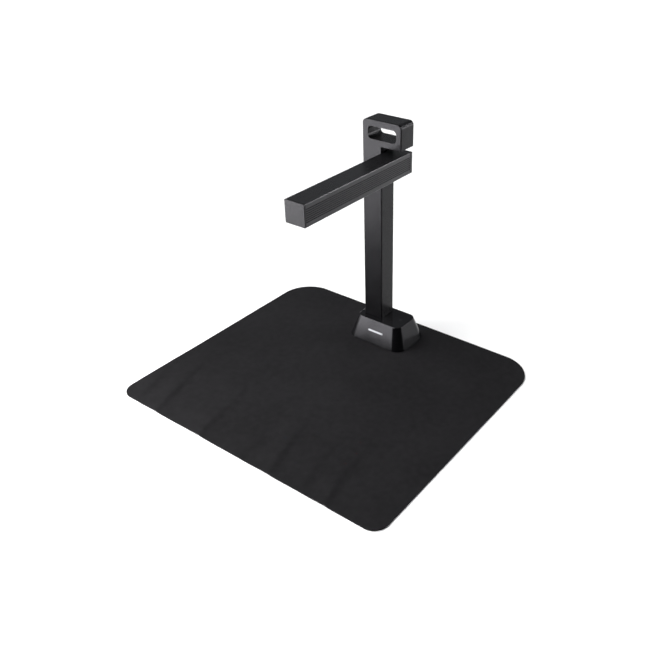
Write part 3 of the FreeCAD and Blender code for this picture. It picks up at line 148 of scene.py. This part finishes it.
class Nodes:
    """A material's node tree, with short ways to add and join nodes."""

    def __init__(self, name):
        self.material = bpy.data.materials.new(name)
        self.material.use_nodes = True
        self.tree = self.material.node_tree
        self.shader = self.tree.nodes["Principled BSDF"]
        self.place = self.add("ShaderNodeTexCoord").outputs["Object"]

    def add(self, kind, **settings):
        return add_node(self.tree, kind, **settings)

    def link(self, source, target):
        self.tree.links.new(source, target)

    def set(self, **sockets):
        """Plain values on the shader's own sockets, such as roughness=0.4."""
        for key, number in sockets.items():
            name = key.replace("_", " ").title().replace("Ior", "IOR")
            self.shader.inputs[name].default_value = number

    def drive(self, **sources):
        """Node outputs joined to the shader's own sockets."""
        for key, source in sources.items():
            self.link(source, self.shader.inputs[key.replace("_", " ").title()])

    def stretched(self, scale):
        """Object coordinates scaled by a vector, for grain that runs one way."""
        mapping = self.add("ShaderNodeMapping")
        mapping.inputs["Scale"].default_value = scale
        self.link(self.place, mapping.inputs["Vector"])
        return mapping.outputs["Vector"]

    def noise(self, scale, detail=3.0, vector=None):
        node = self.add("ShaderNodeTexNoise")
        node.inputs["Scale"].default_value = scale
        node.inputs["Detail"].default_value = detail
        self.link(vector or self.place, node.inputs["Vector"])
        return node.outputs["Fac"]

    def spread(self, source, low, high):
        """A noise's usual range of values, spread from low to high."""
        node = self.add("ShaderNodeMapRange")
        node.inputs["From Min"].default_value = NOISE_LOW
        node.inputs["From Max"].default_value = NOISE_HIGH
        node.inputs["To Min"].default_value = low
        node.inputs["To Max"].default_value = high
        self.link(source, node.inputs["Value"])
        return node.outputs["Result"]

    def colours(self, source, first, second, low=NOISE_LOW, high=NOISE_HIGH):
        """One colour up to low, the other from high on, and a blend between them."""
        ramp = self.add("ShaderNodeValToRGB")
        ends = ramp.color_ramp.elements
        ends[0].position = low
        ends[0].color = (*first, 1)
        ends[1].position = high
        ends[1].color = (*second, 1)
        self.link(source, ramp.inputs["Fac"])
        return ramp.outputs["Color"]

    def combine(self, kind, *sources):
        """A Math node on numbers and node outputs."""
        node = self.add("ShaderNodeMath", operation=kind)
        for socket, source in zip(node.inputs, sources):
            if isinstance(source, (int, float)):
                socket.default_value = source
            else:
                self.link(source, socket)
        return node.outputs["Value"]

    def bump(self, height, depth, strength=1.0):
        """A bump whose height is depth metres where the source is 1."""
        node = self.add("ShaderNodeBump")
        node.inputs["Strength"].default_value = strength
        node.inputs["Distance"].default_value = depth
        self.link(height, node.inputs["Height"])
        self.drive(normal=node.outputs["Normal"])


# ---------------------------------------------------------------- materials

def moulded(name, dark, light, roughness, depth=COARSE_GRAIN, specular=0.5, dust=None):
    """Moulded plastic with a fine spark-eroded grain and faint cloudy gloss changes."""
    nodes = Nodes(name)
    cloud = nodes.noise(scale=22, detail=4)
    grain = nodes.noise(scale=2600, detail=2)
    gloss = nodes.combine("ADD", nodes.spread(cloud, roughness - 0.04, roughness + 0.05),
                          nodes.spread(grain, -0.03, 0.03))
    if dust:
        gloss = nodes.combine("ADD", gloss, dust(nodes))
    nodes.drive(base_color=nodes.colours(cloud, dark, light), roughness=gloss)
    nodes.bump(grain, depth)
    nodes.set(specular_ior_level=specular, specular_tint=PLASTIC_TINT)
    return nodes.material


def groove_dust(nodes):
    """Extra roughness down in the grooves of the arm's side, and none elsewhere."""
    split = nodes.add("ShaderNodeSeparateXYZ")
    nodes.link(nodes.place, split.inputs["Vector"])
    across = split.outputs["X"]
    upward = split.outputs["Z"]
    below_lip = nodes.combine("LESS_THAN", across, ARM_SIDE_X - GROOVE_LIP)
    above_floor = nodes.combine("GREATER_THAN", across, ARM_SIDE_X - GROOVE_FLOOR)
    among = nodes.combine("COMPARE", upward, GROOVES_MID_Z, GROOVES_HALF)
    inside = nodes.combine("MULTIPLY", nodes.combine("MULTIPLY", below_lip, above_floor), among)
    return nodes.combine("MULTIPLY", inside, GROOVE_DUST)


def case(name, roughness, specular, depth=COARSE_GRAIN, dust=None):
    """The black plastic of the scanner's case."""
    return moulded(name, CASE_DARK, CASE_LIGHT, roughness, depth, specular, dust)


def metal(name, dark, light, roughness):
    """Metal with fine drawn lines and slight stains."""
    nodes = Nodes(name)
    lines = nodes.noise(scale=1.0, detail=3, vector=nodes.stretched((40, 40, 900)))
    stain = nodes.noise(scale=160, detail=4)
    nodes.drive(base_color=nodes.colours(stain, dark, light),
                roughness=nodes.spread(lines, roughness - 0.08, roughness + 0.08))
    nodes.bump(lines, 0.02 * MM)
    nodes.set(metallic=1.0)
    return nodes.material


def cast_metal(name, dark, light, roughness):
    """Die-cast or painted metal with a pebbly skin."""
    nodes = Nodes(name)
    pebble = nodes.noise(scale=900, detail=4)
    stain = nodes.noise(scale=70, detail=3)
    nodes.drive(base_color=nodes.colours(stain, dark, light),
                roughness=nodes.spread(pebble, roughness - 0.06, roughness + 0.1))
    nodes.bump(pebble, 0.08 * MM)
    nodes.set(metallic=0.9)
    return nodes.material


def circuit_board(name):
    """Green solder mask over copper traces that show as slightly lighter paths."""
    nodes = Nodes(name)
    cells = nodes.add("ShaderNodeTexVoronoi", feature="DISTANCE_TO_EDGE", distance="MANHATTAN")
    cells.inputs["Scale"].default_value = 420
    nodes.link(nodes.place, cells.inputs["Vector"])
    from_edge = cells.outputs["Distance"]
    traces = nodes.colours(from_edge, (0.01, 0.12, 0.05), (0.006, 0.05, 0.026), 0.05, 0.11)
    sheen = nodes.spread(nodes.noise(scale=300), 0.28, 0.42)
    nodes.drive(base_color=traces, roughness=sheen)
    nodes.bump(from_edge, 0.03 * MM)
    return nodes.material


def glass(name, tint):
    """Coated glass over a dark inside, with the faintest smear on it."""
    nodes = Nodes(name)
    smear = nodes.noise(scale=90, detail=5)
    smeared = tuple(c * 1.3 for c in tint)
    nodes.drive(base_color=nodes.colours(smear, tint, smeared),
                roughness=nodes.spread(smear, 0.02, 0.07))
    nodes.set(transmission_weight=0.9, ior=1.5, coat_weight=0.6, coat_roughness=0.03)
    return nodes.material


def frosted(name):
    """White frosted diffuser with a slightly uneven milkiness."""
    nodes = Nodes(name)
    milk = nodes.noise(scale=600, detail=3)
    nodes.drive(base_color=nodes.colours(milk, (0.72, 0.74, 0.76), (0.86, 0.88, 0.9)),
                roughness=nodes.spread(milk, 0.45, 0.6))
    nodes.bump(milk, 0.02 * MM)
    nodes.set(subsurface_weight=0.3, subsurface_scale=2 * MM)
    return nodes.material


def rubber(name, dark, light, roughness):
    """Dull rubber or cable jacket with a fine grain."""
    nodes = Nodes(name)
    grain = nodes.noise(scale=1800, detail=3)
    cloud = nodes.noise(scale=40, detail=4)
    nodes.drive(base_color=nodes.colours(cloud, dark, light),
                roughness=nodes.spread(grain, roughness - 0.06, roughness + 0.08))
    nodes.bump(grain, 0.06 * MM)
    nodes.set(specular_ior_level=0.35)
    return nodes.material


def mat_cloth(name):
    """Fine close-knit cloth bonded to foam: two crossing ribs, lint and uneven wear."""
    nodes = Nodes(name)
    ribs = []
    for direction in ("X", "Y"):
        wave = nodes.add("ShaderNodeTexWave", bands_direction=direction)
        wave.inputs["Scale"].default_value = 260
        wave.inputs["Distortion"].default_value = 1.2
        wave.inputs["Detail"].default_value = 2
        nodes.link(nodes.place, wave.inputs["Vector"])
        ribs.append(wave.outputs["Fac"])
    weave = nodes.combine("MULTIPLY", *ribs)
    lint = nodes.noise(scale=1500, detail=4)
    height = nodes.combine("ADD", weave, nodes.combine("MULTIPLY", lint, 0.5))
    patches = nodes.noise(scale=7, detail=4)
    scuffs = nodes.noise(scale=110, detail=5)
    wear = nodes.combine("ADD", nodes.combine("MULTIPLY", patches, 0.5),
                         nodes.combine("MULTIPLY", scuffs, 0.5))
    worn = nodes.colours(wear, (0.0036, 0.0033, 0.0040), (0.0080, 0.0075, 0.0086), 0.35, 0.65)
    nodes.drive(base_color=worn, roughness=nodes.spread(lint, 0.55, 0.7))
    nodes.bump(height, 0.1 * MM, strength=0.8)
    nodes.set(specular_ior_level=0.14)
    return nodes.material


def make_materials():
    """A material for each slot in the record and each finish of its own."""
    return {
        "case": case("satin_black_case", roughness=0.26, specular=0.195),
        "foot_case": case("satin_black_foot", roughness=0.12, specular=0.23, depth=FINE_GRAIN),
        "tub_case": case("satin_black_tub", roughness=0.26, specular=0.14),
        "panel_case": case("satin_black_panel", roughness=0.33, specular=0.215),
        "arm_case": case("satin_black_arm", roughness=0.30, specular=0.36, depth=FINE_GRAIN,
                         dust=groove_dust),
        "steel": metal("zinc_steel", (0.42, 0.43, 0.44), (0.56, 0.57, 0.58), 0.32),
        "ballast": cast_metal("painted_ballast", (0.03, 0.03, 0.032), (0.05, 0.05, 0.052), 0.6),
        "cast": cast_metal("die_cast", (0.5, 0.51, 0.52), (0.62, 0.63, 0.64), 0.42),
        "bush": metal("bronze_bush", (0.55, 0.36, 0.16), (0.7, 0.49, 0.25), 0.35),
        "screw": metal("black_oxide_screw", (0.03, 0.03, 0.032), (0.06, 0.06, 0.063), 0.38),
        "board": circuit_board("circuit_board"),
        "chip": moulded("moulded_chip", (0.012, 0.012, 0.013), (0.02, 0.02, 0.021), 0.55),
        "led": moulded("light_chip", (0.75, 0.62, 0.2), (0.85, 0.75, 0.35), 0.3),
        "diffuser": frosted("frosted_diffuser"),
        "glass": glass("camera_glass", (0.6, 0.62, 0.66)),
        "lens_glass": glass("coated_lens", (0.32, 0.25, 0.5)),
        "foot_rubber": rubber("foot_rubber", (0.018, 0.018, 0.018), (0.028, 0.028, 0.028), 0.75),
        "badge": moulded("badge_print", (0.42, 0.43, 0.45), (0.5, 0.51, 0.53), 0.4, FINE_GRAIN),
        "light_pipe": moulded("smoked_light_pipe", (0.008, 0.008, 0.009), (0.014, 0.014, 0.015),
                              0.15, FINE_GRAIN / 2),
        "cable": rubber("cable_jacket", (0.012, 0.012, 0.012), (0.02, 0.02, 0.02), 0.55),
        "ribbon": moulded("polyimide_ribbon", (0.35, 0.13, 0.02), (0.45, 0.19, 0.035), 0.3),
        "washer": moulded("polymer_washer", (0.01, 0.01, 0.01), (0.018, 0.018, 0.018), 0.45),
        "mat": mat_cloth("mat_cloth"),
    }


MATERIALS = make_materials()


def dress_cad():
    """Give every CAD node the material of its slot in the record, or its own finish."""
    for row in frame["record"]["subparts"]:
        finish = OWN_FINISH.get(row["node"], row["material_slot"])
        node = frame["nodes"][row["node"]]
        node.data.materials.clear()
        node.data.materials.append(MATERIALS[finish])


def add_object(name, data):
    """A new object in the scene."""
    item = bpy.data.objects.new(name, data)
    bpy.context.scene.collection.objects.link(item)
    return item


# ---------------------------------------------------------------- mat

def mat_rows(half_y):
    """The y of each row of the mat's grid, closer together round its corners."""
    front = -half_y + MAT_FRONT_RADIUS
    back = half_y - MAT_BACK_RADIUS
    turns = [math.pi / 2 * i / CORNER_ROWS for i in range(CORNER_ROWS)]
    rows = [front - MAT_FRONT_RADIUS * math.cos(turn) for turn in turns]
    rows += [front + (back - front) * i / STRAIGHT_ROWS for i in range(STRAIGHT_ROWS)]
    rows += [back + MAT_BACK_RADIUS * math.sin(turn) for turn in turns]
    return rows + [half_y]


def mat_half_width(y, half_x, half_y):
    """Half the mat's width at y, less in its rounded corners."""
    radius = MAT_BACK_RADIUS if y > 0 else MAT_FRONT_RADIUS
    into_corner = abs(y) - (half_y - radius)
    if into_corner <= 0:
        return half_x
    return half_x - radius + math.sqrt(max(0.0, radius ** 2 - into_corner ** 2))


def fold_height(across, height, long_flank, steep_flank):
    """A fold's profile: it rises gently from the left and drops steeply to the right."""
    flank = long_flank if across < 0 else steep_flank
    return height * math.exp(-(across / flank) ** 2)


def drift(x, y, waves, slice_z):
    """Smooth noise over the mat, with so many waves to the metre each way."""
    return noise.noise(Vector((x * waves[0], y * waves[1], slice_z)))


def mat_rise(x, y, half_y):
    """How far the mat lifts off the table: folds along its front that die out inward."""
    from_front = y + half_y
    lively = max(0.0, 1 - from_front / (2 * half_y) / FOLD_REACH) ** FOLD_FADE
    lively *= EDGE_SHARE + (1 - EDGE_SHARE) * min(1.0, from_front / EDGE_CALM)
    bend = FOLD_BEND * drift(x, y, BEND_WAVES, BEND_SLICE)
    line = x + FOLD_TILT * from_front + bend
    folds = sum(fold_height(line - place, *shape) for place, *shape in FOLDS)
    swell = 0.5 + drift(x, y, SWELL_WAVES, SWELL_SLICE)
    return lively * (folds + SWELL * swell)


def make_mat():
    """The mat as a sheet of even thickness with folds at its front and a rounded cut edge."""
    low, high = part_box("scan_mat")
    half_x = high.x
    half_y = high.y
    mesh = bmesh.new()
    grid = []
    for y in mat_rows(half_y):
        width = mat_half_width(y, half_x, half_y)
        line = []
        for i in range(COLUMNS + 1):
            x = width * (2 * i / COLUMNS - 1)
            line.append(mesh.verts.new((x, y, high.z + mat_rise(x, y, half_y))))
        grid.append(line)
    for near, far in zip(grid, grid[1:]):
        for i in range(COLUMNS):
            mesh.faces.new((near[i], near[i + 1], far[i + 1], far[i]))
    data = bpy.data.meshes.new("mat_sheet")
    mesh.to_mesh(data)
    mesh.free()
    data.shade_smooth()
    data.materials.append(MATERIALS["mat"])
    sheet = add_object("mat_sheet", data)
    thickness = sheet.modifiers.new("thickness", "SOLIDIFY")
    thickness.thickness = high.z - low.z
    thickness.offset = -1
    edge = sheet.modifiers.new("edge", "BEVEL")
    edge.width = MAT_RIM
    edge.segments = RIM_SEGMENTS
    edge.limit_method = "ANGLE"
    edge.angle_limit = math.radians(RIM_ANGLE)
    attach(sheet, "stand")
    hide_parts("scan_mat")


# ---------------------------------------------------------------- stage, light and camera

def make_floor():
    """A plain pale floor that reaches past every view."""
    data = bpy.data.meshes.new("floor")
    mesh = bmesh.new()
    corners = [mesh.verts.new((x * FLOOR_REACH, y * FLOOR_REACH, -FLOOR_DROP))
               for x, y in ((-1, -1), (1, -1), (1, 1), (-1, 1))]
    mesh.faces.new(corners)
    mesh.to_mesh(data)
    mesh.free()
    floor = add_object("floor", data)
    nodes = Nodes("pale_floor")
    pale = nodes.colours(nodes.noise(scale=0.8, detail=2), (0.86, 0.86, 0.86), (0.9, 0.9, 0.9))
    nodes.drive(base_color=pale)
    nodes.set(roughness=0.9, specular_ior_level=0.1)
    data.materials.append(nodes.material)


def make_world():
    """A studio room: pale to the back left, dark to the front right, white to the camera."""
    world = bpy.data.worlds.new("studio")
    world.use_nodes = True
    tree = world.node_tree
    ray_place = add_node(tree, "ShaderNodeTexCoord").outputs["Generated"]
    facing = add_node(tree, "ShaderNodeVectorMath", operation="DOT_PRODUCT")
    facing.inputs[1].default_value = BRIGHT_SIDE
    tree.links.new(ray_place, facing.inputs[0])
    shade = add_node(tree, "ShaderNodeMapRange", interpolation_type="SMOOTHSTEP")
    shade.inputs["From Min"].default_value = 0
    shade.inputs["From Max"].default_value = 1
    shade.inputs["To Min"].default_value = ROOM_DARK
    shade.inputs["To Max"].default_value = ROOM_BRIGHT
    tree.links.new(facing.outputs["Value"], shade.inputs["Value"])
    room = tree.nodes["Background"]
    room.inputs["Color"].default_value = ROOM_COLOUR
    tree.links.new(shade.outputs["Result"], room.inputs["Strength"])
    backdrop = add_node(tree, "ShaderNodeBackground")
    backdrop.inputs["Color"].default_value = WHITE
    ray = add_node(tree, "ShaderNodeLightPath")
    mix = add_node(tree, "ShaderNodeMixShader")
    tree.links.new(ray.outputs["Is Camera Ray"], mix.inputs["Fac"])
    tree.links.new(room.outputs["Background"], mix.inputs[1])
    tree.links.new(backdrop.outputs["Background"], mix.inputs[2])
    tree.links.new(mix.outputs["Shader"], tree.nodes["World Output"].inputs["Surface"])
    bpy.context.scene.world = world


def aimed(direction):
    """The turn that points a light's or camera's -Z along a direction."""
    return Vector(direction).to_track_quat("-Z", "Y").to_euler()


def make_lights():
    """A broad soft sun, a wash on the floor at the front left, and softboxes."""
    sun = bpy.data.lights.new("sun", "SUN")
    sun.energy = SUN_STRENGTH
    sun.angle = math.radians(SUN_ANGLE)
    add_object("sun", sun).rotation_euler = aimed(SUN_AIM)
    for name, place, target, size, watts, spread in SOFTBOXES:
        data = bpy.data.lights.new(name, "AREA")
        data.spread = math.radians(spread)
        data.shape = "RECTANGLE"
        data.size, data.size_y = size
        data.energy = watts
        light = add_object(name, data)
        light.location = place
        light.rotation_euler = aimed(Vector(target) - Vector(place))


def make_camera():
    """The photograph's view."""
    around = math.radians(CAMERA_AROUND)
    above = math.radians(CAMERA_ABOVE)
    back = Vector((math.sin(around) * math.cos(above), -math.cos(around) * math.cos(above),
                   math.sin(above)))
    right = Vector((math.cos(around), math.sin(around), 0))
    up = back.cross(right)
    data = bpy.data.cameras.new("camera")
    data.sensor_width = CAMERA_SENSOR
    data.lens = CAMERA_LENS
    data.shift_x, data.shift_y = CAMERA_SHIFT
    camera = add_object("camera", data)
    turn = Matrix((right, up, back)).transposed().to_4x4()
    camera.matrix_world = Matrix.Translation(CAMERA_PLACE) @ turn
    bpy.context.scene.camera = camera


make_camera()
make_world()
make_lights()
make_floor()
dress_cad()
make_mat()
bpy.context.scene.view_settings.view_transform = "Standard"
